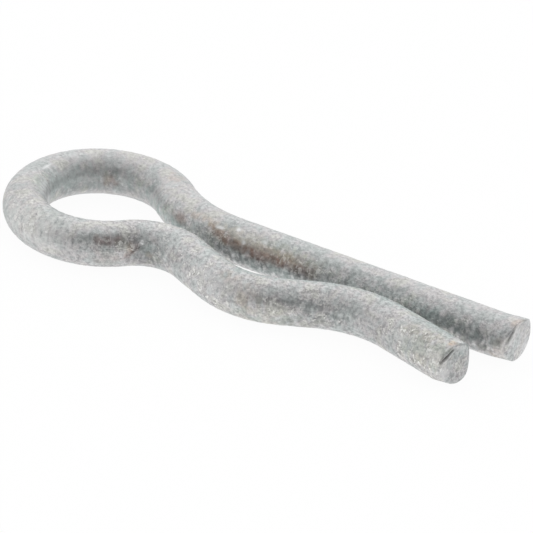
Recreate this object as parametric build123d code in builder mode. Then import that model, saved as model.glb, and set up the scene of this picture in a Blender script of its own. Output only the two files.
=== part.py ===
from build123d import *
from math import acos, asin, cos, degrees, radians, sin, sqrt
import os

# Hairpin cotter pin: one length of round spring wire, bent in a single plane.
# The straight leg goes through a cross hole in a shaft. The wavy leg springs over the outside of the
# shaft, which then sits in the seat between the neck and the grip. The round eye is the spring and
# the place to pull. The pin lies on its side.
# Origin: where the shaft's axis crosses the straight leg's axis. +X runs along the straight leg to its
# free end, +Z along the shaft, and the wavy leg is on the -Y side.
# Lengths are in millimetres and angles in degrees.

os.makedirs("parts", exist_ok=True)

# The wire
wire_diameter = 3.2

# The eye, and how far its centre lies from the straight leg's axis
eye_inside_diameter = 7.6
eye_offset = 1.8

# The neck, where the legs leave the eye: the inside radius of each bend, and the gap between the legs
straight_neck_bend = 8.7
wavy_neck_bend = 2.35
neck_gap = 0.65

# The seat that holds the shaft, and the slope of the wire on either side of it
seat_inside_diameter = 9.0
neck_ramp_angle = 24.5
grip_ramp_angle = 28.5

# The grip, a hump whose top all but touches the straight leg
grip_bend = 6.0
grip_gap = 0.1

# The free ends, measured along the straight leg from the shaft's axis, and the wavy end's lead-in slope
straight_reach = 18.5
wavy_reach = 16.7
flare_angle = 16.0

# The ends are sheared square, and the shear rolls the edge over on the side that faces the other leg.
# Tumbling has rounded the rest of the rim.
rim_round = 0.2
rollover_depth = 0.45
rollover_width = 0.95
cut_overrun = 1.0

# Radii of the wire's own centreline
wire_radius = wire_diameter / 2
eye_radius = eye_inside_diameter / 2 + wire_radius
straight_neck_radius = straight_neck_bend + wire_radius
wavy_neck_radius = wavy_neck_bend + wire_radius
seat_radius = seat_inside_diameter / 2 + wire_radius
grip_radius = grip_bend + wire_radius

# How far each crest or trough of the wavy leg lies below the straight leg's axis
neck_drop = wire_diameter + neck_gap
seat_drop = seat_radius
grip_drop = wire_diameter + grip_gap


def ramp_length(drop: float, radii: float, slope: float) -> float:
    """Straight stretch between two opposite bends that together fall by drop.

    Args:
        drop: height from the crest of one bend to the trough of the other.
        radii: the sum of the two bends' radii.
        slope: angle of the straight stretch, in degrees.
    Returns:
        The length of wire between the ends of the two bends.
    """
    return (drop - radii * (1 - cos(radians(slope)))) / sin(radians(slope))


def ramp_run(length: float, radii: float, slope: float) -> float:
    """Distance along the leg from crest to trough, over both bends and the stretch between them."""
    return radii * sin(radians(slope)) + length * cos(radians(slope))


# The stretches on either side of the seat, from the heights that they join
neck_radii = wavy_neck_radius + seat_radius
neck_ramp = ramp_length(seat_drop - neck_drop, neck_radii, neck_ramp_angle)
neck_x = -ramp_run(neck_ramp, neck_radii, neck_ramp_angle)
grip_radii = seat_radius + grip_radius
grip_ramp = ramp_length(seat_drop - grip_drop, grip_radii, grip_ramp_angle)
grip_x = ramp_run(grip_ramp, grip_radii, grip_ramp_angle)

# The eye touches both neck bends, so its centre and their turns follow from the bends' own centres
eye_to_wavy_bend = eye_radius + wavy_neck_radius
eye_above_wavy_bend = wavy_neck_radius + neck_drop - eye_offset
eye_x = neck_x - sqrt(eye_to_wavy_bend**2 - eye_above_wavy_bend**2)
wavy_neck_turn = degrees(acos(eye_above_wavy_bend / eye_to_wavy_bend))
eye_to_straight_bend = eye_radius + straight_neck_radius
eye_below_straight_bend = straight_neck_radius + eye_offset
straight_neck_x = eye_x + sqrt(eye_to_straight_bend**2 - eye_below_straight_bend**2)
straight_neck_turn = degrees(acos(eye_below_straight_bend / eye_to_straight_bend))
half_turn = 180

# The last straight stretch of the wavy leg
flare_x = grip_x + grip_radius * sin(radians(flare_angle))
flare_length = (wavy_reach - flare_x) / cos(radians(flare_angle))

# The arc that rolls a sheared edge over
rollover_radius = (rollover_depth**2 + rollover_width**2) / (2 * rollover_depth)
rollover_turn = degrees(asin(rollover_width / rollover_radius))

with BuildPart() as hairpin:
    # The bent wire, followed from the free end of the straight leg round the eye to the other free end
    with BuildLine():
        straight_leg = Line((straight_reach, 0), (straight_neck_x, 0))
        straight_neck = JernArc(
            straight_leg @ 1, straight_leg % 1, straight_neck_radius, -straight_neck_turn
        )
        eye = JernArc(
            straight_neck @ 1,
            straight_neck % 1,
            eye_radius,
            half_turn + straight_neck_turn + wavy_neck_turn,
        )
        wavy_neck = JernArc(
            eye @ 1, eye % 1, wavy_neck_radius, -(wavy_neck_turn + neck_ramp_angle)
        )
        seat_entry = Line(wavy_neck @ 1, wavy_neck @ 1 + wavy_neck % 1 * neck_ramp)
        seat = JernArc(
            seat_entry @ 1, seat_entry % 1, seat_radius, neck_ramp_angle + grip_ramp_angle
        )
        seat_exit = Line(seat @ 1, seat @ 1 + seat % 1 * grip_ramp)
        grip = JernArc(
            seat_exit @ 1, seat_exit % 1, grip_radius, -(grip_ramp_angle + flare_angle)
        )
        wavy_tip = Line(grip @ 1, grip @ 1 + grip % 1 * flare_length)
    with BuildSketch(Plane(origin=straight_leg @ 0, z_dir=straight_leg % 0)):
        Circle(wire_radius)
    sweep()

    # The rounded rim of both free ends, which reach furthest along +X
    fillet(hairpin.edges().filter_by(GeomType.CIRCLE).sort_by(Axis.X)[-2:], rim_round)

    # The rolled edge of each end. In the plane of the cut, x points out of the wire's end and y to the
    # side that faces the other leg.
    straight_end = Plane(origin=straight_leg @ 0, x_dir=-(straight_leg % 0), z_dir=(0, 0, -1))
    wavy_end = Plane(origin=wavy_tip @ 1, x_dir=wavy_tip % 1, z_dir=(0, 0, 1))
    for end in (straight_end, wavy_end):
        with BuildSketch(end):
            with BuildLine():
                rolled = JernArc(
                    (0, wire_radius - rollover_width), (0, 1), rollover_radius, rollover_turn
                )
                side = Line(rolled @ 1, rolled @ 1 + (0, cut_overrun))
                Polyline(
                    side @ 1,
                    (cut_overrun, wire_radius + cut_overrun),
                    (cut_overrun, wire_radius - rollover_width),
                    rolled @ 0,
                )
            make_face()
        extrude(amount=wire_diameter, both=True, mode=Mode.SUBTRACT)

hairpin.part.label = "hairpin_wire"
export_step(hairpin.part, "parts/hairpin_wire.step")
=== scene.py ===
import logging
from dataclasses import dataclass
from enum import Enum
from math import acos, cos, pi, radians, sin, sqrt
from typing import Any

import bpy
import numpy as np
from mathutils import Matrix, Vector


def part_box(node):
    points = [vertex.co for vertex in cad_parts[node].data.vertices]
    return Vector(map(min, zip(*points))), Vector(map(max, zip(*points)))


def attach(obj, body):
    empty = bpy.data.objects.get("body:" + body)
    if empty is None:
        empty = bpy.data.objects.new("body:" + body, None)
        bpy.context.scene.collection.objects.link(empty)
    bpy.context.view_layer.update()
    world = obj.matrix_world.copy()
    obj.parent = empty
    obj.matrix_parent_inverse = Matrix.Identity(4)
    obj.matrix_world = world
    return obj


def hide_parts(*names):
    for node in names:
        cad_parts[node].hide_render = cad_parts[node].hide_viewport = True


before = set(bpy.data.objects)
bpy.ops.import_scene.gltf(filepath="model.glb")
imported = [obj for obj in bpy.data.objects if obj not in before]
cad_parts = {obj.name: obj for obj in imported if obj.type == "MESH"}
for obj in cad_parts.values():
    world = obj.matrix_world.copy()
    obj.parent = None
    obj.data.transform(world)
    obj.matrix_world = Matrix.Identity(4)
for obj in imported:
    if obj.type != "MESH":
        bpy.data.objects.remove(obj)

# A hairpin cotter pin: one zinc plated spring wire that lies on its side on a pale studio floor.
# Sizes are in millimetres and angles in degrees, as in the part's own drawing. Meshes are in metres.

MM = 0.001
NODE = "hairpin_wire"
BODY = "root"
IMAGE_PIXELS = 533

# Wavelengths of a random field, as shares of its typical one
SHORTEST_WAVE_SHARE = 0.7
LONGEST_WAVE_SHARE = 1.5

# Heights of a mark's bell at which it begins to show and shows in full
MARK_EDGE_SHARE = 0.1
MARK_CORE_SHARE = 0.9

log = logging.getLogger("hairpin")


def linear(hex_colour: str) -> tuple[float, float, float, float]:
    """Turns an sRGB hex colour into the linear colour that a shader takes, by the sRGB standard's curve.

    Args:
        hex_colour: six hex digits with a leading #.
    Returns:
        Linear red, green and blue, and an alpha of 1.
    """
    channels = [int(hex_colour[i : i + 2], 16) / 255 for i in (1, 3, 5)]
    low = [c / 12.92 for c in channels]
    high = [((c + 0.055) / 1.055) ** 2.4 for c in channels]
    red, green, blue = (a if c <= 0.04045 else b for c, a, b in zip(channels, low, high))
    return red, green, blue, 1.0


def add_node(
    tree: bpy.types.NodeTree,
    kind: str,
    settings: dict[str, Any] | None = None,
    inputs: dict[int | str, Any] | None = None,
    stops: list[tuple[float, str]] | None = None,
) -> bpy.types.Node:
    """Adds one shader node, sets it up and links it.

    Args:
        tree: the node tree that gets the node.
        kind: the node's Blender type, without the leading ShaderNode.
        settings: the node's own properties.
        inputs: a value or another node's output for each input socket, by index or name.
        stops: places and hex colours of a colour ramp.
    Returns:
        The new node.
    """
    node = tree.nodes.new("ShaderNode" + kind)
    for name, value in (settings or {}).items():
        setattr(node, name, value)
    for key, value in (inputs or {}).items():
        if isinstance(value, bpy.types.NodeSocket):
            tree.links.new(value, node.inputs[key])
        else:
            node.inputs[key].default_value = value
    if stops:
        elements = node.color_ramp.elements
        while len(elements) < len(stops):
            elements.new(0.5)
        for element, (place, colour) in zip(elements, stops):
            element.position = place
            element.color = linear(colour)
    return node


def smooth_step(values: np.ndarray) -> np.ndarray:
    """Eases from 0 to 1 as 3t^2 - 2t^3, with t held between 0 and 1."""
    t = np.clip(values, 0.0, 1.0)
    return t * t * (3.0 - 2.0 * t)


def wave_field(points: np.ndarray, length: float, waves: int, seed: int) -> np.ndarray:
    """A soft random field over space, made of plane waves in all directions.

    The field is the sum of cos(k . p + phase) over the waves, where each k has a random direction and a
    wavelength about as long as length. It is scaled to a root mean square of 1.

    Args:
        points: places, one row each.
        length: typical wavelength, in the units of points.
        waves: how many waves are added.
        seed: seed of the random directions, so that each run gives the same field.
    Returns:
        One value for each place.
    """
    random = np.random.default_rng(seed)
    directions = random.normal(size=(waves, 3))
    directions /= np.linalg.norm(directions, axis=1)[:, None]
    lengths = length * random.uniform(SHORTEST_WAVE_SHARE, LONGEST_WAVE_SHARE, waves)
    phases = random.uniform(0.0, 2.0 * pi, waves)
    turns = points @ (directions * (2.0 * pi / lengths)[:, None]).T + phases
    return np.cos(turns).sum(axis=1) * sqrt(2.0 / waves)


class MarkKind(Enum):
    """What a mark on the wire is. The value names the mesh attribute that carries it."""

    # Painted cool shade where the legs shade each other
    PAINTED_COOL_SHADE = "painted_cool_shade"
    TAN = "tan"
    CHROMATE = "chromate"
    # Dull places and scratches, and painted shade where the legs shade each other and round the neck
    DULL_AND_SHADE = "dull_and_shade"
    STAIN = "stain"
    # Painted shade in the shears' creases
    CREASE = "crease"
    BURNISH = "burnish"
    # Pale crystals with painted glints
    FLAKE_GLINT = "flake_glint"
    # Bare rubbed metal, and painted highlights and glints
    RUB_AND_HIGHLIGHT = "rub_and_highlight"


@dataclass(frozen=True)
class Mark:
    """A mark on the wire's skin, placed by the length of wire from the straight end and the angle round it.

    Angle 0 faces the other leg, 90 is the top and 180 the side away from the other leg. The mark is an oval,
    exp(-(u/reach)^2 - (v/width)^2), where u runs along the wire, turned by slant, and v runs round it. A
    random field scales it, so that its edge is ragged. Its middle stands out of the skin by height.
    """

    kind: MarkKind
    along: float
    angle: float
    reach: float
    width: float
    slant: float = 0.0
    strength: float = 1.0
    ragged: float = 0.35
    height: float = 0.0

    def weight(self, along: np.ndarray, angle: np.ndarray, radius: float, field: np.ndarray) -> np.ndarray:
        """How strongly the mark shows at each place.

        Args:
            along: lengths of wire from the straight end.
            angle: angles round the wire, in radians.
            radius: the wire's radius.
            field: a random field with a root mean square of 1.
        Returns:
            Weights from 0 to strength.
        """
        round_wire = (angle - radians(self.angle) + pi) % (2.0 * pi) - pi
        u, v = along - self.along, round_wire * radius
        c, s = cos(radians(self.slant)), sin(radians(self.slant))
        u, v = c * u + s * v, c * v - s * u
        bell = np.exp(-((u / self.reach) ** 2) - (v / self.width) ** 2)
        shown = (bell * (1.0 + self.ragged * field) - MARK_EDGE_SHARE) / (MARK_CORE_SHARE - MARK_EDGE_SHARE)
        return self.strength * smooth_step(shown)


@dataclass(frozen=True)
class ShearedEnd:
    """How one end of the wire was sheared off.

    The cut is square. Its edge is rolled over on the side that faces the other leg and drawn out to a burr
    elsewhere, the rim is broken all round, and a crease with a raised lip crosses the face where the metal
    began to tear; the crease gets painted shade and the lip a painted highlight. The shear also lifts the
    end and squeezes it from below. Places on the face are given towards the other leg, then up.
    """

    crease_start: tuple[float, float]
    crease_stop: tuple[float, float]
    crease_shade: float
    rim_round: float
    lift: float
    burr_angle: float
    burr_width: float
    burr_height: float
    squeeze_angle: float
    squeeze_width: float
    squeeze_depth: float
    squeeze_length: float
    face_dull: float
    tear_height: float
    tear_seed: int
    rollover_depth: float = 0.45
    rollover_width: float = 0.95
    crease_depth: float = 0.07
    crease_width: float = 0.068
    lip_height: float = 0.05
    lip_inset: float = 0.19
    # Painted highlight along the lip, as a share of the bright rub colour
    lip_shine: float = 0.5
    tear_grain: float = 0.4
    tear_waves: int = 40
    tear_edge_share: float = 0.7
    tear_fade_share: float = 0.25
    dull_edge_share: float = 0.85
    dull_fade_share: float = 0.12
    bent_length: float = 2.4

    def face_drop(self, side: np.ndarray, up: np.ndarray, radius: float) -> np.ndarray:
        """Depth of the end face below a square cut.

        On the rolled side the face falls away as an arc, R - sqrt(R^2 - t^2), where t is the distance past
        the start of the roll. The crease is a groove, and its lip a ridge, of bell-shaped section. The burr
        rises over the outer half of the face and is a bell round it.

        Args:
            side: distance from the wire's axis towards the other leg.
            up: distance from the wire's axis upwards.
            radius: the wire's radius.
        Returns:
            Depths, in millimetres.
        """
        arc = (self.rollover_depth**2 + self.rollover_width**2) / (2.0 * self.rollover_depth)
        past = np.clip(side - (radius - self.rollover_width), 0.0, arc)
        rolled = arc - np.sqrt(arc * arc - past * past)
        groove = self.crease_depth * self.crease(side, up, 0.0)
        lip = self.lip_height * self.crease(side, up, self.lip_inset)
        turned = (np.arctan2(up, side) - radians(self.burr_angle) + pi) % (2.0 * pi) - pi
        bell = np.exp(-((turned / radians(self.burr_width)) ** 2))
        outer_half = 2.0 * np.hypot(side, up) / radius - 1.0
        burr = self.burr_height * bell * smooth_step(outer_half)
        return rolled + groove - lip - burr

    def crease(self, side: np.ndarray, up: np.ndarray, inset: float) -> np.ndarray:
        """Weight of the crease, or of a line beside it, at places on the end face.

        The weight is exp(-(v/width)^2 - u^4), where v is the distance from the line and u runs from -1 at
        the line's start to 1 at its stop.

        Args:
            side: distance from the wire's axis towards the other leg.
            up: distance from the wire's axis upwards.
            inset: how far the line lies from the crease, towards the axis.
        Returns:
            Weights from 0 to 1.
        """
        start, stop = np.array(self.crease_start), np.array(self.crease_stop)
        reach = np.linalg.norm(stop - start) / 2
        along = (stop - start) / (2 * reach)
        across = np.array([-along[1], along[0]])
        middle = (start + stop) / 2
        across = across * np.sign(across @ middle)
        v = side * across[0] + up * across[1] - middle @ across + inset
        u = (side * along[0] + up * along[1] - middle @ along) / reach
        return np.exp(-((v / self.crease_width) ** 2) - u**4)

    def squeeze(self, angle: np.ndarray, from_end: np.ndarray) -> np.ndarray:
        """How far the shear pressed the wire's side in, a bell round the wire that fades along it.

        Args:
            angle: angles round the wire, in radians.
            from_end: lengths of wire from this end.
        Returns:
            Depths, in millimetres.
        """
        turned = (angle - radians(self.squeeze_angle) + pi) % (2.0 * pi) - pi
        bell = np.exp(-((turned / radians(self.squeeze_width)) ** 2))
        return self.squeeze_depth * bell * smooth_step(1.0 - from_end / self.squeeze_length)


@dataclass(frozen=True)
class ZincPlating:
    """Zinc plating on drawn spring steel, barrel plated and left dull.

    The eye sees a soft grey metal with a fine frosty grain, pale flakes with painted glints where crystals
    catch the light, painted cool shade where the legs shade each other, a faint olive chromate, and tan to
    brown tarnish where the bending tools rubbed.
    """

    name: str = "zinc_plated_spring_steel"
    grain_dark: str = "#b0b0b1"
    grain_middle: str = "#cecece"
    grain_light: str = "#e4e4e4"
    # Painted glint of the flakes
    flake_glint: str = "#fafaf6"
    cool_tint: str = "#eef3f2"
    plain_tint: str = "#f8fafa"
    pink_tint: str = "#fbf8f9"
    warm_tint: str = "#fdfdf8"
    # Painted cool shade where the legs shade each other
    painted_cool_shade: str = "#e6f3f0"
    tan: str = "#f6e7db"
    chromate: str = "#f9f9e8"
    # Darkens the dull places and the painted shade
    dull_and_shade: str = "#a1a2a3"
    stain: str = "#be7a62"
    # Painted shade in the shears' creases
    crease: str = "#4e4d4c"
    # Bare rubbed metal, and painted highlights and glints
    rub_and_highlight: str = "#f0f1f1"
    grain_size: float = 0.26
    grain_detail: float = 3.0
    grain_contrast: float = 0.78
    grain_stops: tuple[float, float, float] = (0.37, 0.50, 0.63)
    grain_height: float = 0.050
    burnished_share: float = 0.35
    tint_size: float = 1.1
    tint_detail: float = 3.0
    tint_stops: tuple[float, float, float, float] = (0.36, 0.46, 0.54, 0.64)
    flake_size: float = 0.25
    flake_detail: float = 1.2
    flake_twist: float = 0.9
    flake_edge: tuple[float, float] = (0.56, 0.62)
    flake_outside_share: float = 0.22
    clump_edge: tuple[float, float] = (0.40, 0.60)
    clump_shares: tuple[float, float] = (0.4, 1.3)
    flake_height_share: float = 0.8
    draw_line_width: float = 0.16
    draw_line_length: float = 5.0
    draw_line_detail: float = 1.0
    draw_line_share: float = 0.15
    roughness: float = 0.50
    rub_smoothing: float = 0.12

    def material(self) -> bpy.types.Material:
        """Builds the plating's material.

        Returns:
            A node material that reads Object coordinates and the wire's own map and mark attributes.
        """
        material = bpy.data.materials.new(self.name)
        material.use_nodes = True
        tree = material.node_tree
        tree.nodes.clear()
        place = add_node(tree, "TexCoord").outputs["Object"]
        weights = {
            kind: add_node(tree, "Attribute", {"attribute_name": kind.value}).outputs["Fac"]
            for kind in MarkKind
        }
        blend = {"data_type": "RGBA"}
        multiply = {"data_type": "RGBA", "blend_type": "MULTIPLY"}

        # Grain: the frosty surface of the crystals, which handling burnishes. Real crystals are finer than a
        # pixel, so the grain is drawn as coarse as it needs to show.
        grain = add_node(
            tree, "TexNoise", None,
            {
                "Vector": place, "Scale": 1.0 / (self.grain_size * MM),
                "Detail": self.grain_detail, "Roughness": self.grain_contrast,
            },
        ).outputs["Fac"]
        tones = list(zip(self.grain_stops, (self.grain_dark, self.grain_middle, self.grain_light)))
        colour = add_node(tree, "ValToRGB", None, {0: grain}, tones).outputs[0]
        calm = add_node(
            tree, "MapRange", None, {0: weights[MarkKind.BURNISH], 3: 1.0, 4: self.burnished_share}
        ).outputs[0]
        colour = add_node(
            tree, "Mix", blend, {0: calm, 6: linear(self.grain_middle), 7: colour}
        ).outputs[2]

        # Tints: slow drifts of colour in the passivation
        drift = add_node(
            tree, "TexNoise", None,
            {"Vector": place, "Scale": 1.0 / (self.tint_size * MM), "Detail": self.tint_detail},
        ).outputs["Fac"]
        tints = (self.cool_tint, self.plain_tint, self.pink_tint, self.warm_tint)
        tint = add_node(tree, "ValToRGB", None, {0: drift}, list(zip(self.tint_stops, tints))).outputs[0]
        colour = add_node(tree, "Mix", multiply, {0: 1.0, 6: colour, 7: tint}).outputs[2]

        # Tarnish and painted shade: each kind darkens or tints the grain under it; the cool kind is painted
        # shade, the dull kind partly
        for kind in (MarkKind.PAINTED_COOL_SHADE, MarkKind.TAN, MarkKind.CHROMATE, MarkKind.DULL_AND_SHADE, MarkKind.STAIN):
            over = linear(getattr(self, kind.value))
            colour = add_node(tree, "Mix", multiply, {0: weights[kind], 6: colour, 7: over}).outputs[2]

        # Flakes: crystals that stand out in patches and stay bright, in the tarnish too, with painted glints
        # where they catch the light
        flake_glint = add_node(
            tree, "TexNoise", None,
            {
                "Vector": place, "Scale": 1.0 / (self.flake_size * MM),
                "Detail": self.flake_detail, "Distortion": self.flake_twist,
            },
        ).outputs["Fac"]
        patch = add_node(
            tree, "MapRange", None, {0: weights[MarkKind.FLAKE_GLINT], 3: self.flake_outside_share}
        ).outputs[0]
        drifts = dict(zip((1, 2, 3, 4), self.clump_edge + self.clump_shares))
        clump = add_node(tree, "MapRange", None, {0: drift, **drifts}).outputs[0]
        edge = dict(zip((1, 2), self.flake_edge))
        flake_glint = add_node(tree, "MapRange", None, {0: flake_glint, **edge}).outputs[0]
        for share in (clump, patch, calm):
            flake_glint = add_node(tree, "Math", {"operation": "MULTIPLY"}, {0: flake_glint, 1: share}).outputs[0]
        colour = add_node(tree, "Mix", blend, {0: flake_glint, 6: colour, 7: linear(self.flake_glint)}).outputs[2]

        # Rubs: bare bright metal, smoother than the grain, with painted highlights and glints among them,
        # and painted shade in the shears' creases
        rubbed_and_highlit = weights[MarkKind.RUB_AND_HIGHLIGHT]
        colour = add_node(tree, "Mix", blend, {0: rubbed_and_highlit, 6: colour, 7: linear(self.rub_and_highlight)}).outputs[2]
        creased = {0: weights[MarkKind.CREASE], 6: colour, 7: linear(self.crease)}
        colour = add_node(tree, "Mix", multiply, creased).outputs[2]
        rough = add_node(
            tree, "Math", {"operation": "MULTIPLY_ADD"},
            {0: rubbed_and_highlit, 1: -self.rub_smoothing, 2: self.roughness},
        ).outputs[0]

        # Relief: the grain and flakes, and the drawn wire's lines along its length. Real lines are finer
        # than a pixel, so they are as wide as they need to show.
        unwrapped = add_node(tree, "UVMap", {"uv_map": "skin"}).outputs[0]
        stretch = (1.0 / self.draw_line_width, 1.0 / self.draw_line_length, 1.0)
        lines = add_node(tree, "Mapping", None, {0: unwrapped, 3: stretch}).outputs[0]
        lines = add_node(
            tree, "TexNoise", {"noise_dimensions": "2D"},
            {"Vector": lines, "Scale": 1.0, "Detail": self.draw_line_detail},
        ).outputs["Fac"]
        mix = {"operation": "MULTIPLY_ADD"}
        height = add_node(tree, "Math", mix, {0: lines, 1: self.draw_line_share, 2: grain}).outputs[0]
        height = add_node(
            tree, "Math", mix, {0: flake_glint, 1: self.flake_height_share, 2: height}
        ).outputs[0]
        bump = add_node(
            tree, "Bump", None, {"Strength": calm, "Distance": self.grain_height * MM, "Height": height}
        ).outputs[0]
        shader = add_node(
            tree, "BsdfPrincipled", None,
            {"Base Color": colour, "Metallic": 1.0, "Roughness": rough, "Normal": bump},
        ).outputs[0]
        add_node(tree, "OutputMaterial", None, {0: shader})
        return material


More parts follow.
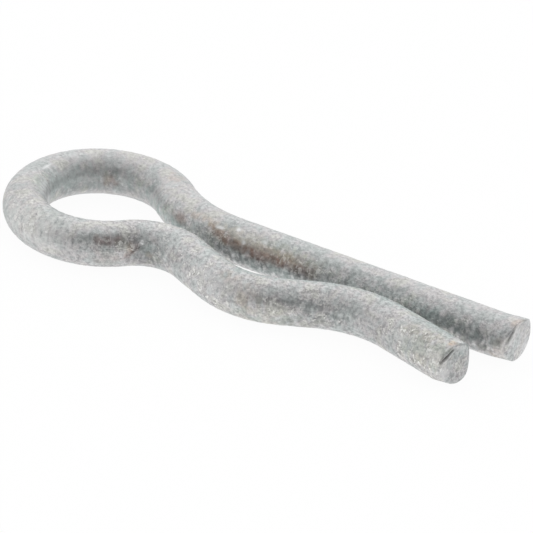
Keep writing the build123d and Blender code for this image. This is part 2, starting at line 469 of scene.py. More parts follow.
@dataclass
class HairpinWire:
    """The bent wire, from the free end of its straight leg round the eye to the free end of its wavy leg.

    The centreline is a chain of straight runs and arcs in the plane z = 0. The straight leg lies on the X
    axis, and the shaft that the pin locks stands on the Z axis.
    """

    wire_diameter: float = 3.2
    eye_inside_diameter: float = 7.6
    eye_offset: float = 1.8
    straight_neck_bend: float = 8.7
    wavy_neck_bend: float = 2.35
    neck_gap: float = 0.65
    seat_inside_diameter: float = 9.0
    neck_ramp_angle: float = 24.5
    grip_ramp_angle: float = 28.5
    grip_bend: float = 6.0
    grip_gap: float = 0.1
    straight_reach: float = 18.5
    wavy_reach: float = 16.7
    flare_angle: float = 16.0
    straight_end: ShearedEnd = ShearedEnd(
        crease_start=(1.36, 0.26), crease_stop=(0.72, 1.38), crease_shade=0.7, rim_round=0.05, lift=0.15,
        burr_angle=108.0, burr_width=28.0, burr_height=0.24,
        squeeze_angle=275.0, squeeze_width=65.0, squeeze_depth=0.13, squeeze_length=6.0,
        face_dull=0.0, tear_height=0.004, tear_seed=5, crease_depth=0.05, crease_width=0.13, lip_height=0.02,
    )
    wavy_end: ShearedEnd = ShearedEnd(
        crease_start=(-1.50, 0.60), crease_stop=(-0.40, 1.30), crease_shade=1.0, rim_round=0.18, lift=0.0,
        burr_angle=-25.0, burr_width=40.0, burr_height=0.06,
        squeeze_angle=240.0, squeeze_width=32.0, squeeze_depth=0.22, squeeze_length=1.3,
        face_dull=0.12, tear_height=0.009, tear_seed=9,
    )
    row_spacing: float = 0.094
    columns: int = 102
    rim_rows: int = 7
    face_rows: int = 26
    skin_wave: float = 0.5
    skin_height: float = 0.005
    skin_waves: int = 72
    skin_seed: int = 3
    finger_length: float = 0.8
    finger_slimness: float = 2.2
    finger_waves: int = 64
    finger_seed: int = 20
    marks: tuple[Mark, ...] = (
        # Painted cool shade where the legs shade each other and round the eye's inside
        Mark(MarkKind.PAINTED_COOL_SHADE, 17.0, 10.0, 16.0, 1.1, strength=0.5),
        Mark(MarkKind.PAINTED_COOL_SHADE, 5.5, 16.0, 2.8, 0.8, strength=0.5),
        Mark(MarkKind.PAINTED_COOL_SHADE, 42.0, 10.0, 9.0, 1.1, strength=0.5),
        Mark(MarkKind.PAINTED_COOL_SHADE, 73.0, 60.0, 16.0, 0.8, strength=0.6),
        Mark(MarkKind.PAINTED_COOL_SHADE, 28.5, -2.0, 2.2, 0.6, strength=0.7),
        Mark(MarkKind.PAINTED_COOL_SHADE, 44.5, 52.0, 2.5, 0.7, strength=0.5),
        Mark(MarkKind.PAINTED_COOL_SHADE, 9.0, 38.0, 3.0, 0.8, strength=0.3),
        Mark(MarkKind.PAINTED_COOL_SHADE, 58.5, 170.0, 1.8, 1.0, strength=0.3),
        Mark(MarkKind.PAINTED_COOL_SHADE, 73.5, 175.0, 2.2, 1.2, strength=0.2),
        # Grain burnished on the eye and along the straight leg
        Mark(MarkKind.BURNISH, 38.0, 90.0, 12.0, 60.0, strength=0.7),
        Mark(MarkKind.BURNISH, 12.0, 95.0, 30.0, 1.4, strength=0.5),
        Mark(MarkKind.BURNISH, 20.5, 17.0, 3.5, 0.6, slant=8.0, strength=0.4),
        # Patches of bright flakes with painted glints, most of them on the wavy leg's outer side
        Mark(MarkKind.FLAKE_GLINT, 81.5, 165.0, 2.6, 1.5),
        Mark(MarkKind.FLAKE_GLINT, 84.7, 0.0, 0.9, 60.0, strength=0.2),
        Mark(MarkKind.FLAKE_GLINT, 84.3, 62.0, 0.6, 0.8, strength=0.6),
        Mark(MarkKind.FLAKE_GLINT, 79.3, 150.0, 1.6, 0.8, strength=0.8),
        Mark(MarkKind.FLAKE_GLINT, 64.3, 160.0, 2.6, 1.5, strength=0.9),
        Mark(MarkKind.FLAKE_GLINT, 60.0, 135.0, 2.4, 1.4, strength=0.6),
        Mark(MarkKind.FLAKE_GLINT, 55.0, 150.0, 2.6, 0.9, strength=0.35),
        Mark(MarkKind.FLAKE_GLINT, 48.5, 135.0, 3.0, 1.6, strength=0.7),
        Mark(MarkKind.FLAKE_GLINT, 71.5, 150.0, 5.0, 1.3, strength=0.5),
        Mark(MarkKind.FLAKE_GLINT, 19.5, 32.0, 8.0, 0.8, strength=0.2),
        Mark(MarkKind.FLAKE_GLINT, 7.5, 25.0, 5.0, 0.7, strength=0.25),
        # Brown stains, most of them on the straight leg's inner flank
        Mark(MarkKind.STAIN, 26.6, 23.0, 0.8, 0.45, strength=0.38, ragged=0.2),
        Mark(MarkKind.STAIN, 23.0, 31.0, 1.2, 0.42, slant=11.0, strength=0.33, ragged=0.2),
        Mark(MarkKind.STAIN, 21.4, 18.0, 1.8, 0.45, slant=6.0, strength=0.42, ragged=0.2),
        Mark(MarkKind.STAIN, 19.5, 16.0, 1.8, 0.45, strength=0.38, ragged=0.2),
        Mark(MarkKind.STAIN, 17.5, 18.0, 1.5, 0.4, strength=0.32, ragged=0.2),
        Mark(MarkKind.STAIN, 15.9, 17.0, 0.9, 0.5, strength=0.25, ragged=0.2),
        Mark(MarkKind.STAIN, 35.9, 5.0, 1.1, 0.5, strength=0.32, ragged=0.4),
        Mark(MarkKind.STAIN, 54.0, 141.0, 0.9, 0.4, strength=0.3),
        Mark(MarkKind.STAIN, 55.7, 172.0, 1.1, 0.3, slant=-31.0, strength=0.2, ragged=0.2),
        # Dull places, smears and scratches, and painted shade: on the straight leg's flank facing the other
        # leg, beside the straight end's crease, inside the eye and round the neck
        Mark(MarkKind.DULL_AND_SHADE, 24.1, 21.0, 1.2, 0.4, strength=0.25),
        Mark(MarkKind.DULL_AND_SHADE, 23.2, -8.0, 1.2, 0.6, strength=0.45),
        Mark(MarkKind.DULL_AND_SHADE, 21.1, -8.0, 1.9, 0.58, strength=0.7),
        Mark(MarkKind.DULL_AND_SHADE, 22.0, -5.0, 1.2, 0.5, strength=0.72),
        Mark(MarkKind.DULL_AND_SHADE, 19.8, -3.0, 0.9, 0.35, strength=0.35),
        Mark(MarkKind.DULL_AND_SHADE, 18.6, -4.0, 1.4, 0.5, strength=0.42),
        Mark(MarkKind.DULL_AND_SHADE, 15.8, 6.0, 1.8, 0.55, strength=0.5),
        Mark(MarkKind.DULL_AND_SHADE, 16.6, 10.0, 1.4, 0.4, strength=0.35),
        Mark(MarkKind.DULL_AND_SHADE, 16.4, -3.0, 0.8, 0.4, strength=0.4),
        Mark(MarkKind.DULL_AND_SHADE, 26.4, -2.0, 1.0, 0.5, strength=0.3),
        Mark(MarkKind.DULL_AND_SHADE, 14.4, 24.0, 0.5, 0.13, slant=-60.0, strength=0.5),
        Mark(MarkKind.DULL_AND_SHADE, 13.7, 30.0, 0.55, 0.12, slant=-60.0, strength=0.45),
        Mark(MarkKind.DULL_AND_SHADE, 12.8, 42.0, 0.6, 0.12, slant=-60.0, strength=0.4),
        Mark(MarkKind.DULL_AND_SHADE, 14.2, 36.0, 2.6, 0.8, strength=0.2),
        Mark(MarkKind.DULL_AND_SHADE, 10.2, 52.0, 3.0, 0.5, strength=0.2),
        Mark(MarkKind.DULL_AND_SHADE, 9.5, 14.0, 4.5, 0.5, strength=0.2),
        Mark(MarkKind.DULL_AND_SHADE, 4.6, 22.0, 1.3, 0.7, strength=0.4),
        Mark(MarkKind.DULL_AND_SHADE, 2.8, 1.0, 1.3, 0.85, strength=0.66),
        Mark(MarkKind.DULL_AND_SHADE, 0.9, 10.0, 0.9, 0.48, strength=0.38),
        Mark(MarkKind.DULL_AND_SHADE, 1.9, -20.0, 1.0, 0.5, strength=0.45),
        Mark(MarkKind.DULL_AND_SHADE, 0.1, 40.0, 0.4, 0.6, strength=0.3),
        Mark(MarkKind.DULL_AND_SHADE, -0.7, 110.0, 0.6, 0.9, strength=0.25),
        Mark(MarkKind.DULL_AND_SHADE, 45.9, 96.0, 1.5, 1.8, strength=0.1),
        Mark(MarkKind.DULL_AND_SHADE, 37.0, -12.0, 6.0, 0.55, strength=0.45, ragged=0.12),
        Mark(MarkKind.DULL_AND_SHADE, 35.7, 35.0, 0.5, 0.3, strength=0.2),
        Mark(MarkKind.DULL_AND_SHADE, 31.1, 44.0, 0.8, 0.5, strength=0.2),
        Mark(MarkKind.DULL_AND_SHADE, 54.9, 140.0, 1.9, 0.48, strength=0.48),
        Mark(MarkKind.DULL_AND_SHADE, 55.9, 169.0, 0.95, 0.16, slant=-31.0, strength=0.75, ragged=0.1, height=-0.03),
        Mark(MarkKind.DULL_AND_SHADE, 56.6, 180.0, 1.5, 0.7, strength=0.45, ragged=0.15),
        Mark(MarkKind.DULL_AND_SHADE, 56.9, 201.0, 1.7, 0.6, strength=0.4, ragged=0.15),
        Mark(MarkKind.DULL_AND_SHADE, 58.9, 180.0, 1.4, 0.65, strength=0.45, ragged=0.15),
        Mark(MarkKind.DULL_AND_SHADE, 52.8, 188.0, 2.2, 0.5, strength=0.12),
        Mark(MarkKind.DULL_AND_SHADE, 45.5, 120.0, 1.2, 0.6, strength=0.12),
        Mark(MarkKind.DULL_AND_SHADE, 67.8, 163.0, 0.7, 0.35, strength=0.25),
        Mark(MarkKind.DULL_AND_SHADE, 69.2, 150.0, 1.3, 0.5, strength=0.1),
        Mark(MarkKind.DULL_AND_SHADE, 70.8, 152.0, 2.4, 0.12, strength=0.25),
        Mark(MarkKind.DULL_AND_SHADE, 68.9, 147.0, 1.0, 0.1, slant=4.0, strength=0.3),
        Mark(MarkKind.DULL_AND_SHADE, 72.5, 159.0, 1.2, 0.1, slant=4.0, strength=0.3),
        Mark(MarkKind.DULL_AND_SHADE, 81.0, 118.0, 2.0, 0.5, strength=0.15),
        Mark(MarkKind.DULL_AND_SHADE, 84.8, 40.0, 0.8, 60.0, strength=0.25, ragged=0.9),
        Mark(MarkKind.DULL_AND_SHADE, 73.0, 183.0, 2.2, 0.7, strength=0.4),
        Mark(MarkKind.DULL_AND_SHADE, 70.9, 206.0, 1.9, 0.6, strength=0.25),
        Mark(MarkKind.DULL_AND_SHADE, 78.0, 182.0, 2.6, 0.8, strength=0.18),
        # Tan tarnish
        Mark(MarkKind.TAN, 30.2, 95.0, 0.8, 0.7, strength=0.35),
        Mark(MarkKind.TAN, 25.0, 53.0, 1.3, 0.3, slant=-8.0, strength=0.65),
        Mark(MarkKind.TAN, 24.0, 45.0, 0.3, 0.2),
        Mark(MarkKind.TAN, 19.3, 33.0, 4.0, 0.45, strength=0.85, ragged=0.2),
        Mark(MarkKind.TAN, 22.8, 49.0, 1.2, 0.5, strength=0.5),
        Mark(MarkKind.TAN, 54.1, 190.0, 0.8, 0.8, strength=0.25),
        Mark(MarkKind.TAN, 55.5, 168.0, 0.5, 0.6, strength=0.6),
        Mark(MarkKind.TAN, 57.6, 179.0, 0.5, 0.25, strength=0.6),
        Mark(MarkKind.TAN, 67.4, 152.0, 0.9, 0.9, strength=0.45),
        Mark(MarkKind.TAN, 65.8, 118.0, 0.7, 0.5, strength=0.45),
        Mark(MarkKind.TAN, 0.1, 78.0, 0.45, 0.5, strength=0.5),
        Mark(MarkKind.TAN, 0.7, -32.0, 0.7, 0.6, strength=0.5),
        Mark(MarkKind.TAN, 0.4, 4.0, 0.6, 0.7, strength=0.4),
        Mark(MarkKind.TAN, 83.5, 98.0, 0.3, 0.35),
        # Olive chromate
        Mark(MarkKind.CHROMATE, 20.0, 50.0, 5.0, 0.5, strength=0.35),
        Mark(MarkKind.CHROMATE, 82.0, 145.0, 2.6, 1.6, strength=0.45),
        Mark(MarkKind.CHROMATE, 49.5, 145.0, 2.6, 1.6, strength=0.2),
        Mark(MarkKind.CHROMATE, 68.5, 205.0, 2.2, 1.2, strength=0.3),
        # Bright rubs and nicks, and painted highlights and glints
        Mark(MarkKind.RUB_AND_HIGHLIGHT, -0.9, 0.0, 0.9, 60.0, strength=0.16),
        Mark(MarkKind.RUB_AND_HIGHLIGHT, -0.2, 235.0, 0.5, 1.0, strength=0.35),
        Mark(MarkKind.RUB_AND_HIGHLIGHT, 44.9, 25.0, 1.7, 0.7, strength=0.8),
        Mark(MarkKind.RUB_AND_HIGHLIGHT, 30.0, 16.0, 1.2, 0.3, strength=0.25),
        Mark(MarkKind.RUB_AND_HIGHLIGHT, 50.6, 138.0, 1.4, 0.7, strength=0.2),
        Mark(MarkKind.RUB_AND_HIGHLIGHT, 41.0, 24.0, 2.8, 0.5, strength=0.25),
        Mark(MarkKind.RUB_AND_HIGHLIGHT, 38.6, 73.0, 1.6, 0.4, strength=0.2),
        Mark(MarkKind.RUB_AND_HIGHLIGHT, 24.9, 55.0, 1.0, 0.25, slant=-8.0, strength=0.2),
        Mark(MarkKind.RUB_AND_HIGHLIGHT, 67.6, 136.0, 0.8, 0.35, strength=0.2),
        Mark(MarkKind.RUB_AND_HIGHLIGHT, 21.3, 46.0, 2.4, 0.4, slant=9.0, strength=0.2),
        Mark(MarkKind.RUB_AND_HIGHLIGHT, 0.5, -30.0, 0.6, 0.5, strength=0.3),
        Mark(MarkKind.RUB_AND_HIGHLIGHT, 49.6, 160.0, 2.6, 1.2, strength=0.35),
        Mark(MarkKind.RUB_AND_HIGHLIGHT, 52.5, 114.0, 2.2, 0.5, strength=0.2),
        Mark(MarkKind.RUB_AND_HIGHLIGHT, 65.0, 150.0, 2.2, 0.9, strength=0.3),
        Mark(MarkKind.RUB_AND_HIGHLIGHT, 75.8, 142.0, 1.4, 0.8, strength=0.15),
        Mark(MarkKind.RUB_AND_HIGHLIGHT, 80.2, 152.0, 1.6, 0.5, strength=0.25),
        Mark(MarkKind.RUB_AND_HIGHLIGHT, 84.2, 165.0, 0.5, 0.6, strength=0.25),
        Mark(MarkKind.RUB_AND_HIGHLIGHT, 84.2, 197.0, 0.6, 0.75, strength=0.4),
        Mark(MarkKind.RUB_AND_HIGHLIGHT, 84.25, 64.0, 0.3, 0.8, strength=0.3),
        Mark(MarkKind.RUB_AND_HIGHLIGHT, 82.9, 152.0, 0.8, 0.4, strength=0.3),
        Mark(MarkKind.RUB_AND_HIGHLIGHT, 58.0, 95.0, 1.4, 0.4, strength=0.25),
        Mark(MarkKind.RUB_AND_HIGHLIGHT, 59.8, 158.0, 0.3, 1.1, slant=12.0, strength=0.4),
        Mark(MarkKind.RUB_AND_HIGHLIGHT, 41.95, 72.5, 0.65, 0.12, strength=0.75, ragged=0.0),
        Mark(MarkKind.RUB_AND_HIGHLIGHT, 56.7, 150.0, 0.22, 0.14, ragged=0.0, height=0.1),
        Mark(MarkKind.RUB_AND_HIGHLIGHT, 23.4, 49.0, 0.36, 0.13, slant=-10.0, strength=0.9, ragged=0.0),
        Mark(MarkKind.RUB_AND_HIGHLIGHT, 22.1, 61.0, 0.22, 0.15, ragged=0.0),
        Mark(MarkKind.RUB_AND_HIGHLIGHT, 19.8, 53.0, 0.24, 0.18, strength=0.7, ragged=0.0),
        Mark(MarkKind.RUB_AND_HIGHLIGHT, 21.3, 34.0, 0.18, 0.16, strength=0.8, ragged=0.0),
        Mark(MarkKind.RUB_AND_HIGHLIGHT, 83.5, 72.0, 0.3, 0.3, strength=0.6),
    )

    def runs(self) -> tuple[np.ndarray, np.ndarray]:
        """Lengths and turns of the runs that make up the centreline.

        Each slope's straight stretch follows from the heights that it joins, and the eye's centre from its
        touching both neck bends.

        Returns:
            Length of each run, and its turn to the left, in radians.
        """
        radius = self.wire_diameter / 2
        eye = self.eye_inside_diameter / 2 + radius
        straight_neck = self.straight_neck_bend + radius
        wavy_neck = self.wavy_neck_bend + radius
        seat = self.seat_inside_diameter / 2 + radius
        grip = self.grip_bend + radius
        neck_drop = self.wire_diameter + self.neck_gap
        grip_drop = self.wire_diameter + self.grip_gap
        neck_slope, grip_slope = radians(self.neck_ramp_angle), radians(self.grip_ramp_angle)
        flare = radians(self.flare_angle)

        neck_radii, grip_radii = wavy_neck + seat, seat + grip
        neck_ramp = (seat - neck_drop - neck_radii * (1 - cos(neck_slope))) / sin(neck_slope)
        grip_ramp = (seat - grip_drop - grip_radii * (1 - cos(grip_slope))) / sin(grip_slope)
        neck_x = -neck_radii * sin(neck_slope) - neck_ramp * cos(neck_slope)
        grip_x = grip_radii * sin(grip_slope) + grip_ramp * cos(grip_slope)
        wavy_rise = wavy_neck + neck_drop - self.eye_offset
        straight_rise = straight_neck + self.eye_offset
        eye_x = neck_x - sqrt((eye + wavy_neck) ** 2 - wavy_rise**2)
        straight_neck_x = eye_x + sqrt((eye + straight_neck) ** 2 - straight_rise**2)
        wavy_turn = acos(wavy_rise / (eye + wavy_neck))
        straight_turn = acos(straight_rise / (eye + straight_neck))
        tip = (self.wavy_reach - grip_x - grip * sin(flare)) / cos(flare)

        arcs = (
            (straight_neck, -straight_turn),
            (eye, pi + straight_turn + wavy_turn),
            (wavy_neck, -wavy_turn - neck_slope),
            (seat, neck_slope + grip_slope),
            (grip, -grip_slope - flare),
        )
        bends = [(bend * abs(turn), turn) for bend, turn in arcs]
        chain = [(self.straight_reach - straight_neck_x, 0.0), *bends[:3], (neck_ramp, 0.0), bends[3]]
        chain += [(grip_ramp, 0.0), bends[4], (tip, 0.0)]
        lengths, turns = np.array(chain).T
        return lengths, turns

    def centreline(self, along: np.ndarray) -> tuple[np.ndarray, np.ndarray]:
        """Places and headings on the centreline.

        A run of length u that turns by w spans a chord of u sin(w/2) / (w/2), halfway between its first and
        last headings, which holds for an arc and, as w goes to 0, for a straight run.

        Args:
            along: lengths of wire from the straight end.
        Returns:
            Places as rows of x, y, and headings in radians.
        """
        lengths, turns = self.runs()
        starts = np.concatenate([[0.0], np.cumsum(lengths)])
        headings = pi + np.concatenate([[0.0], np.cumsum(turns)])
        chords = lengths * np.sinc(turns / 2.0 / pi)
        middles = headings[:-1] + turns / 2.0
        steps = chords[:, None] * np.stack([np.cos(middles), np.sin(middles)], axis=1)
        corners = np.cumsum(np.concatenate([[[self.straight_reach, 0.0]], steps]), axis=0)

        run = np.clip(np.searchsorted(starts, along, side="right") - 1, 0, len(lengths) - 1)
        into = along - starts[run]
        turned = into * turns[run] / lengths[run]
        chord = into * np.sinc(turned / 2.0 / pi)
        middle = headings[run] + turned / 2.0
        places = corners[run] + chord[:, None] * np.stack([np.cos(middle), np.sin(middle)], axis=1)
        return places, headings[run] + turned

    def rows(self, end: ShearedEnd) -> tuple[np.ndarray, np.ndarray]:
        """Rows of the mesh over one end, from the wire's side to just short of the face's middle.

        The rim is a quarter circle of radius rim_round, and the face inside it is flat.

        Args:
            end: the end that is covered.
        Returns:
            Depth of each row below the cut, and its share of the wire's radius.
        """
        radius = self.wire_diameter / 2
        swing = np.linspace(0.0, pi / 2, self.rim_rows)
        depth = end.rim_round * (1.0 - np.sin(swing))
        share = 1.0 - end.rim_round / radius * (1.0 - np.cos(swing))
        inner = np.linspace(share[-1], 0.0, self.face_rows + 1)[1:-1]
        return np.concatenate([depth, np.zeros(len(inner))]), np.concatenate([share, inner])

    def surface(self) -> tuple[np.ndarray, np.ndarray, np.ndarray, dict[MarkKind, np.ndarray]]:
        """The wire's skin as a grid: a circle carried along the centreline and closed over both ends.

        A point is C(s) + q (r + h) (cos(a) N + sin(a) Z) - d T: C is the centreline, N its normal towards
        the other leg, T its outward direction at an end, q the row's share of the radius, h the plating's
        fine waviness with the nicks in it, and d the end's drop below a square cut, faded out along the
        wire.

        Returns:
            Points with one row of the grid per row, each point's length along the wire, which runs on over
            the end faces, its angle round the wire, and the weights of the marks that the shears left, with
            painted shade in the creases and a painted highlight on their lips.
        """
        radius = self.wire_diameter / 2
        total = self.runs()[0].sum()
        first_depth, first_share = self.rows(self.straight_end)
        last_depth, last_share = self.rows(self.wavy_end)
        middle_start, middle_end = first_depth[0], total - last_depth[0]
        count = int((middle_end - middle_start) / self.row_spacing)
        middle = np.linspace(middle_start, middle_end, count)[1:-1]
        along = np.concatenate([first_depth[::-1], middle, total - last_depth])[:, None]
        share = np.concatenate([first_share[::-1], np.ones(len(middle)), last_share])[:, None]
        angle = -pi / 2 + 2.0 * pi * np.arange(self.columns)[None, :] / self.columns
        along, angle = np.broadcast_arrays(along, angle)
        share = np.broadcast_to(share, along.shape)

        places, headings = self.centreline(along[:, 0])
        forward = np.stack([np.cos(headings), np.sin(headings), np.zeros(len(headings))], axis=1)
        inward = np.stack([-np.sin(headings), np.cos(headings), np.zeros(len(headings))], axis=1)
        upward = np.array([0.0, 0.0, 1.0])
        circle = np.cos(angle)[..., None] * inward[:, None, :] + np.sin(angle)[..., None] * upward
        axis = np.concatenate([places, np.zeros((len(places), 1))], axis=1)[:, None, :]
        points = axis + share[..., None] * radius * circle
        wave = wave_field(points.reshape(-1, 3), self.skin_wave, self.skin_waves, self.skin_seed)
        wave = wave.reshape(along.shape)
        points = points + (share * wave * self.skin_height)[..., None] * circle
        even = np.zeros(along.shape)
        for mark in self.marks:
            if mark.height:
                raised = mark.height / mark.strength * mark.weight(along, angle, radius, even)
                points = points + raised[..., None] * circle

        crease, lip, dull_and_shade = np.zeros((3, *along.shape))
        side, up = share * radius * np.cos(angle), share * radius * np.sin(angle)
        for end, from_end, outward in (
            (self.straight_end, along, -1.0),
            (self.wavy_end, total - along, 1.0),
        ):
            near = smooth_step(1.0 - from_end / end.bent_length)
            on_face = np.where(share < 1.0, 1.0, near)
            across = np.stack([side, up, np.zeros(along.shape)], axis=-1).reshape(-1, 3)
            tear = wave_field(across, end.tear_grain, end.tear_waves, end.tear_seed).reshape(along.shape)
            inside = 1.0 - smooth_step((share - end.tear_edge_share) / end.tear_fade_share)
            torn = end.tear_height * tear * inside
            drop = np.where(near > 0.0, on_face * end.face_drop(side, up, radius) + torn, 0.0)
            points = points - outward * drop[..., None] * forward[:, None, :]
            points = points + (end.lift * near**2)[..., None] * upward
            points = points - (share * end.squeeze(angle, from_end))[..., None] * circle
            on_end = (near > 0.0) & (share < 1.0)
            # Painted shade along the crease, and a painted highlight along the lip beside it, carried by the
            # bright rub colour
            shade = end.crease_shade * end.crease(side, up, 0.0)
            crease = np.maximum(crease, np.where(on_end, shade, 0.0))
            shine = end.lip_shine * end.crease(side, up, end.lip_inset)
            lip = np.maximum(lip, np.where(on_end, shine, 0.0))
            flat = 1.0 - smooth_step((share - end.dull_edge_share) / end.dull_fade_share)
            dull_and_shade = np.maximum(dull_and_shade, np.where(on_end, end.face_dull * flat, 0.0))
        over_face = (1.0 - share) * radius * np.where(along < total / 2, -1.0, 1.0)
        # The rub weights here are the lips' painted highlight, and the crease weights painted shade
        shear_marks = {MarkKind.CREASE: crease, MarkKind.RUB_AND_HIGHLIGHT: lip, MarkKind.DULL_AND_SHADE: dull_and_shade}
        return points, along + over_face, angle, shear_marks

    def build(self) -> bpy.types.Object:
        """Makes the wire's mesh, with its mark attributes and an unwrapped map of its skin.

        Returns:
            The wire, at the origin.
        """
        points, along, angle, shear_marks = self.surface()
        rows, columns = along.shape
        cell = np.arange(rows * columns).reshape(rows, columns)
        beside = np.roll(cell, -1, axis=1)
        quads = np.stack([cell[:-1], cell[1:], beside[1:], beside[:-1]], axis=-1).reshape(-1, 4)
        first_pole, last_pole = rows * columns, rows * columns + 1
        first_fan = np.stack([np.full(columns, first_pole), cell[0], beside[0]], axis=1)
        last_fan = np.stack([np.full(columns, last_pole), beside[-1], cell[-1]], axis=1)
        poles = np.stack([points[0].mean(axis=0), points[-1].mean(axis=0)])
        vertices = np.concatenate([points.reshape(-1, 3), poles]) * MM

        mesh = bpy.data.meshes.new("bent_wire")
        mesh.from_pydata(vertices.tolist(), [], quads.tolist() + first_fan.tolist() + last_fan.tolist())
        mesh.shade_smooth()
        self.mark(mesh, along, angle, shear_marks)
        self.unwrap(mesh, along, angle)
        wire = bpy.data.objects.new("bent_wire", mesh)
        bpy.context.scene.collection.objects.link(wire)
        return wire

    def mark(
        self,
        mesh: bpy.types.Mesh,
        along: np.ndarray,
        angle: np.ndarray,
        shear_marks: dict[MarkKind, np.ndarray],
    ) -> None:
        """Writes one attribute for each kind of mark.

        Args:
            mesh: the wire's mesh.
            along: length along the wire of each grid point.
            angle: angle round the wire of each grid point.
            shear_marks: weights of the marks that the shears left, with painted shade in the creases and a
                painted highlight on their lips.
        """
        radius = self.wire_diameter / 2
        skin = [self.finger_slimness * along, radius * np.cos(angle), radius * np.sin(angle)]
        skin = np.stack(skin, axis=-1).reshape(-1, 3)
        field = wave_field(skin, self.finger_length, self.finger_waves, self.finger_seed)
        field = field.reshape(along.shape)
        for kind in MarkKind:
            weights = shear_marks.get(kind, np.zeros(along.shape))
            for mark in self.marks:
                if mark.kind is kind:
                    shown = mark.weight(along, angle, radius, field)
                    weights = weights + shown - weights * shown
            values = np.concatenate([weights.ravel(), weights[[0, -1]].mean(axis=1)])
            attribute = mesh.attributes.new(kind.value, "FLOAT", "POINT")
            attribute.data.foreach_set("value", values.astype(np.float32))

    def unwrap(self, mesh: bpy.types.Mesh, along: np.ndarray, angle: np.ndarray) -> None:
        """Unrolls the skin into a map in millimetres: round the wire by along it, with its seam underneath.

        Args:
            mesh: the wire's mesh.
            along: length along the wire of each grid point.
            angle: angle round the wire of each grid point.
        """
        radius = self.wire_diameter / 2
        corners = np.empty(len(mesh.loops), dtype=np.int32)
        mesh.loops.foreach_get("vertex_index", corners)
        poles = np.zeros(2)
        round_wire = np.concatenate([(angle.ravel() + pi / 2) * radius, poles])[corners]
        length = np.concatenate([along.ravel(), [along.min(), along.max()]])[corners]
        faces = np.empty(len(mesh.polygons), dtype=np.int32)
        sides = np.empty(len(mesh.polygons), dtype=np.int32)
        mesh.polygons.foreach_get("loop_start", faces)
        mesh.polygons.foreach_get("loop_total", sides)
        widest = np.repeat(np.maximum.reduceat(round_wire, faces), sides)
        around = 2.0 * pi * radius
        round_wire = np.where(widest - round_wire > around / 2, round_wire + around, round_wire)
        layer = mesh.uv_layers.new(name="skin")
        layer.data.foreach_set("uv", np.stack([round_wire, length], axis=1).astype(np.float32).ravel())

    def dress(self, wire: bpy.types.Object, plating: ZincPlating) -> None:
        """Plates the wire and lets it stand for the solid.

        Args:
            wire: the built wire.
            plating: its finish.
        """
        wire.data.materials.append(plating.material())
        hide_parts(NODE)
        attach(wire, BODY)


@dataclass(frozen=True)
class StudioFloor:
    """A matt white sweep that the pin lies on. It shows white, and keeps the pin's soft shadow."""

    half_width: float = 3000.0
    cells: int = 24
    paper: str = "#fbfbfb"
    shadow_share: float = 0.06
    seen_white: float = 1.0
    mirrored_white: float = 0.92

    def material(self) -> bpy.types.Material:
        """Builds matt white paper, which metal mirrors as plain white.

        Returns:
            A node material.
        """
        material = bpy.data.materials.new("matt_white_paper")
        material.use_nodes = True
        tree = material.node_tree
        tree.nodes.clear()
        path = add_node(tree, "LightPath").outputs
        paper = add_node(tree, "BsdfDiffuse", None, {0: linear(self.paper)}).outputs[0]
        white = add_node(tree, "Emission", None, {1: self.seen_white}).outputs[0]
        seen = add_node(tree, "MixShader", None, {0: self.shadow_share, 1: white, 2: paper}).outputs[0]
        lit = add_node(
            tree, "MixShader", None, {0: path["Is Camera Ray"], 1: paper, 2: seen}
        ).outputs[0]
        mirrored = add_node(tree, "Emission", None, {1: self.mirrored_white}).outputs[0]
        bounced = add_node(
            tree, "Math", {"operation": "MAXIMUM"},
            {0: path["Is Glossy Ray"], 1: path["Is Transmission Ray"]},
        ).outputs[0]
        shader = add_node(tree, "MixShader", None, {0: bounced, 1: lit, 2: mirrored}).outputs[0]
        add_node(tree, "OutputMaterial", None, {0: shader})
        return material

    def build(self, height: float) -> bpy.types.Object:
        """Lays the floor as a level grid, z = height over a square.

        Args:
            height: the floor's level, in metres.
        Returns:
            The floor.
        """
        line = np.linspace(-self.half_width, self.half_width, self.cells + 1) * MM
        x, y = np.meshgrid(line, line, indexing="ij")
        points = np.stack([x, y, np.full(x.shape, height)], axis=-1).reshape(-1, 3)
        cell = np.arange(x.size).reshape(x.shape)
        quads = np.stack([cell[:-1, :-1], cell[1:, :-1], cell[1:, 1:], cell[:-1, 1:]], axis=-1)
        mesh = bpy.data.meshes.new("floor")
        mesh.from_pydata(points.tolist(), [], quads.reshape(-1, 4).tolist())
        floor = bpy.data.objects.new("floor", mesh)
        bpy.context.scene.collection.objects.link(floor)
        mesh.materials.append(self.material())
        return floor


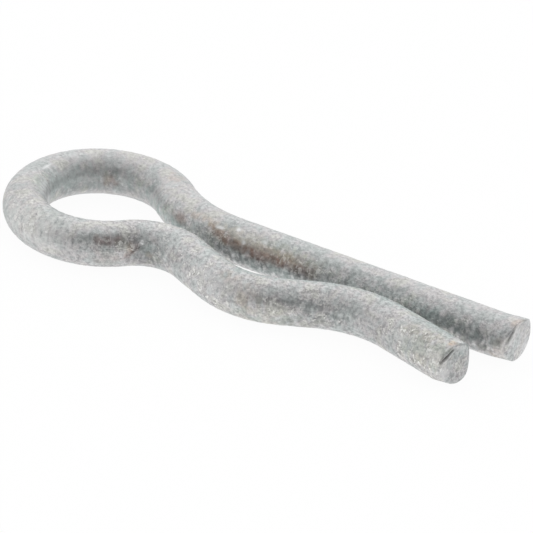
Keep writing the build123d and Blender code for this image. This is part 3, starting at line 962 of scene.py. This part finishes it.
@dataclass(frozen=True)
class StudioLight:
    """A white tent, brightest behind the pin and to its left, dimmest at its right front, and a soft lamp.

    Matt things get the tent's plain white from all round. Metal mirrors its bright and dim sides.
    """

    bright_side: tuple[float, float, float] = (-0.646, 0.763, 0.0)
    white: str = "#ffffff"
    plain: float = 1.0
    bright: float = 1.23
    dim: float = 0.20
    lamp_place: tuple[float, float, float] = (-160.0, 220.0, 400.0)
    lamp_width: float = 400.0
    lamp_watts: float = 0.03

    def build(self) -> None:
        """Sets up the world and the lamp."""
        world = bpy.data.worlds.new("white_tent")
        world.use_nodes = True
        tree = world.node_tree
        tree.nodes.clear()
        direction = add_node(tree, "TexCoord").outputs["Generated"]
        towards = add_node(
            tree, "VectorMath", {"operation": "DOT_PRODUCT"}, {0: direction, 1: self.bright_side}
        ).outputs["Value"]
        level = add_node(
            tree, "MapRange", None, {0: towards, 1: -1.0, 2: 1.0, 3: self.dim, 4: self.bright}
        ).outputs[0]
        white = linear(self.white)
        tent = add_node(tree, "Background", None, {0: white, 1: level}).outputs[0]
        plain = add_node(tree, "Background", None, {0: white, 1: self.plain}).outputs[0]
        mirrored = add_node(tree, "LightPath").outputs["Is Glossy Ray"]
        shown = add_node(tree, "MixShader", None, {0: mirrored, 1: plain, 2: tent}).outputs[0]
        add_node(tree, "OutputWorld", None, {0: shown})
        bpy.context.scene.world = world

        light = bpy.data.lights.new("soft_lamp", "AREA")
        light.shape = "SQUARE"
        light.size = self.lamp_width * MM
        light.energy = self.lamp_watts
        lamp = bpy.data.objects.new("soft_lamp", light)
        lamp.location = Vector(self.lamp_place) * MM
        lamp.rotation_mode = "QUATERNION"
        lamp.rotation_quaternion = (-lamp.location).to_track_quat("-Z", "Y")
        bpy.context.scene.collection.objects.link(lamp)


@dataclass(frozen=True)
class StudioCamera:
    """A long lens that looks down on the pin from its right front, held slightly askew."""

    azimuth: float = 30.51
    elevation: float = 28.84
    roll: float = 4.04
    distance: float = 320.0
    nearest: float = 3.2
    pixels_per_mm: float = 14.497
    aim: tuple[float, float, float] = (0.0, -1.6, 0.0)
    aim_pixel: tuple[float, float] = (275.0, 267.8)
    sensor_width: float = 36.0

    def build(self) -> bpy.types.Object:
        """Places the camera and makes it the scene's own.

        Returns:
            The camera.
        """
        a, e, r = radians(self.azimuth), radians(self.elevation), radians(self.roll)
        back = Vector((sin(a) * cos(e), -cos(a) * cos(e), sin(e)))
        level = Vector((cos(a), sin(a), 0.0))
        upright = back.cross(level)
        right = level * cos(r) + upright * sin(r)
        up = upright * cos(r) - level * sin(r)
        middle = IMAGE_PIXELS / 2
        aside = (middle - self.aim_pixel[0]) / self.pixels_per_mm
        above = (self.aim_pixel[1] - middle) / self.pixels_per_mm
        target = Vector(self.aim) + right * aside + up * above

        data = bpy.data.cameras.new("camera")
        data.sensor_width = self.sensor_width
        data.lens = self.pixels_per_mm * self.distance / IMAGE_PIXELS * self.sensor_width
        data.clip_start = self.nearest * MM
        camera = bpy.data.objects.new("camera", data)
        turn = Matrix((right, up, back)).transposed().to_4x4()
        camera.matrix_world = Matrix.Translation((target + back * self.distance) * MM) @ turn
        bpy.context.scene.collection.objects.link(camera)
        bpy.context.scene.camera = camera
        return camera


def main() -> None:
    logging.basicConfig(level=logging.INFO, format="%(name)s: %(message)s")
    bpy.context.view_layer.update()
    hairpin = HairpinWire()
    wire = hairpin.build()
    hairpin.dress(wire, ZincPlating())
    log.info("wire: %d faces", len(wire.data.polygons))

    StudioCamera().build()
    floor = StudioFloor().build(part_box(NODE)[0][2])
    StudioLight().build()
    log.info("floor at %.2f mm", floor.data.vertices[0].co.z / MM)
    bpy.context.scene.view_settings.view_transform = "Standard"


if __name__ == "__main__":
    main()
